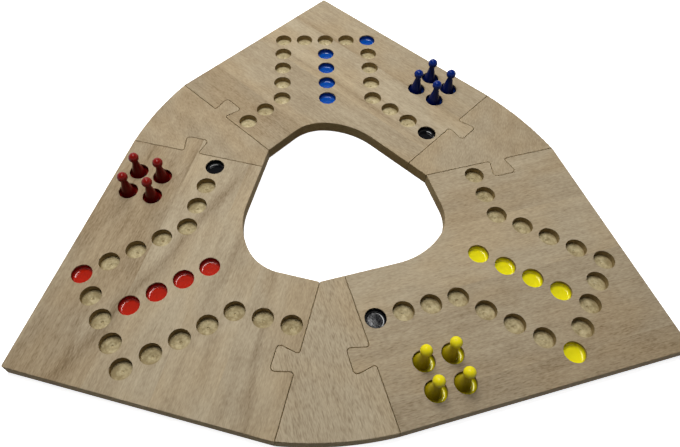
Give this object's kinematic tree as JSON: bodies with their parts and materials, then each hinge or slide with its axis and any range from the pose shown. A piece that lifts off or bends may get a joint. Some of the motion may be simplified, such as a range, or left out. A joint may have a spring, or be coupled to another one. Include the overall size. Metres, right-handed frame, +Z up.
{
  "type": "race board game",
  "caption": "Flat wooden race game set: dovetail-keyed boards and wedges in a ring round an open middle, with drilled recesses, enamelled homes and pawns.",
  "frame": {"origin": "middle of the set's outline in plan, on the table it lies on", "axes": "+Z up, square to the boards; +Y toward the blue board's outer corner, +X to its right, seen from above"},
  "size_m": [0.4438, 0.4372, 0.0294],
  "materials": {
    "beech": "sanded and oiled beech",
    "enamel_blue": "poured gloss enamel",
    "enamel_yellow": "poured gloss enamel",
    "enamel_red": "poured gloss enamel",
    "enamel_black": "poured gloss enamel",
    "pawn_blue": "glossy, in one colour all over",
    "pawn_yellow": "glossy, in one colour all over",
    "pawn_red": "glossy, in one colour all over"
  },
  "bodies": {
    "blue_board": {"board_blue": "beech", "enamel_blue": "enamel_blue", "enamel_black_on_blue": "enamel_black"},
    "yellow_board": {"board_yellow": "beech", "enamel_yellow": "enamel_yellow", "enamel_black_on_yellow": "enamel_black"},
    "red_board": {"board_red": "beech", "enamel_red": "enamel_red", "enamel_black_on_red": "enamel_black"},
    "blue_yellow_wedge": {"wedge_blue_yellow": "beech"},
    "yellow_red_wedge": {"wedge_yellow_red": "beech"},
    "red_blue_wedge": {"wedge_red_blue": "beech"},
    "blue_1_pawn": {"pawn_blue_1": "pawn_blue"},
    "blue_2_pawn": {"pawn_blue_2": "pawn_blue"},
    "blue_3_pawn": {"pawn_blue_3": "pawn_blue"},
    "blue_4_pawn": {"pawn_blue_4": "pawn_blue"},
    "yellow_1_pawn": {"pawn_yellow_1": "pawn_yellow"},
    "yellow_2_pawn": {"pawn_yellow_2": "pawn_yellow"},
    "yellow_3_pawn": {"pawn_yellow_3": "pawn_yellow"},
    "yellow_4_pawn": {"pawn_yellow_4": "pawn_yellow"},
    "red_1_pawn": {"pawn_red_1": "pawn_red"},
    "red_2_pawn": {"pawn_red_2": "pawn_red"},
    "red_3_pawn": {"pawn_red_3": "pawn_red"},
    "red_4_pawn": {"pawn_red_4": "pawn_red"}
  },
  "joints": [
    {"name": "yellow_board_lift", "type": "slide", "parent": "blue_board", "child": "yellow_board", "axis": [0, 0, 1], "range_m": [0, 0.03]},
    {"name": "red_board_lift", "type": "slide", "parent": "blue_board", "child": "red_board", "axis": [0, 0, 1], "range_m": [0, 0.03]},
    {"name": "blue_yellow_wedge_lift", "type": "slide", "parent": "blue_board", "child": "blue_yellow_wedge", "axis": [0, 0, 1], "range_m": [0, 0.03]},
    {"name": "yellow_red_wedge_lift", "type": "slide", "parent": "blue_board", "child": "yellow_red_wedge", "axis": [0, 0, 1], "range_m": [0, 0.03]},
    {"name": "red_blue_wedge_lift", "type": "slide", "parent": "blue_board", "child": "red_blue_wedge", "axis": [0, 0, 1], "range_m": [0, 0.03]},
    {"name": "blue_1_pawn_lift", "type": "slide", "parent": "blue_board", "child": "blue_1_pawn", "axis": [0, 0, 1], "range_m": [0, 0.04]},
    {"name": "blue_2_pawn_lift", "type": "slide", "parent": "blue_board", "child": "blue_2_pawn", "axis": [0, 0, 1], "range_m": [0, 0.04]},
    {"name": "blue_3_pawn_lift", "type": "slide", "parent": "blue_board", "child": "blue_3_pawn", "axis": [0, 0, 1], "range_m": [0, 0.04]},
    {"name": "blue_4_pawn_lift", "type": "slide", "parent": "blue_board", "child": "blue_4_pawn", "axis": [0, 0, 1], "range_m": [0, 0.04]},
    {"name": "yellow_1_pawn_lift", "type": "slide", "parent": "yellow_board", "child": "yellow_1_pawn", "axis": [0, 0, 1], "range_m": [0, 0.04]},
    {"name": "yellow_2_pawn_lift", "type": "slide", "parent": "yellow_board", "child": "yellow_2_pawn", "axis": [0, 0, 1], "range_m": [0, 0.04]},
    {"name": "yellow_3_pawn_lift", "type": "slide", "parent": "yellow_board", "child": "yellow_3_pawn", "axis": [0, 0, 1], "range_m": [0, 0.04]},
    {"name": "yellow_4_pawn_lift", "type": "slide", "parent": "yellow_board", "child": "yellow_4_pawn", "axis": [0, 0, 1], "range_m": [0, 0.04]},
    {"name": "red_1_pawn_lift", "type": "slide", "parent": "red_board", "child": "red_1_pawn", "axis": [0, 0, 1], "range_m": [0, 0.04]},
    {"name": "red_2_pawn_lift", "type": "slide", "parent": "red_board", "child": "red_2_pawn", "axis": [0, 0, 1], "range_m": [0, 0.04]},
    {"name": "red_3_pawn_lift", "type": "slide", "parent": "red_board", "child": "red_3_pawn", "axis": [0, 0, 1], "range_m": [0, 0.04]},
    {"name": "red_4_pawn_lift", "type": "slide", "parent": "red_board", "child": "red_4_pawn", "axis": [0, 0, 1], "range_m": [0, 0.04]}
  ]
}
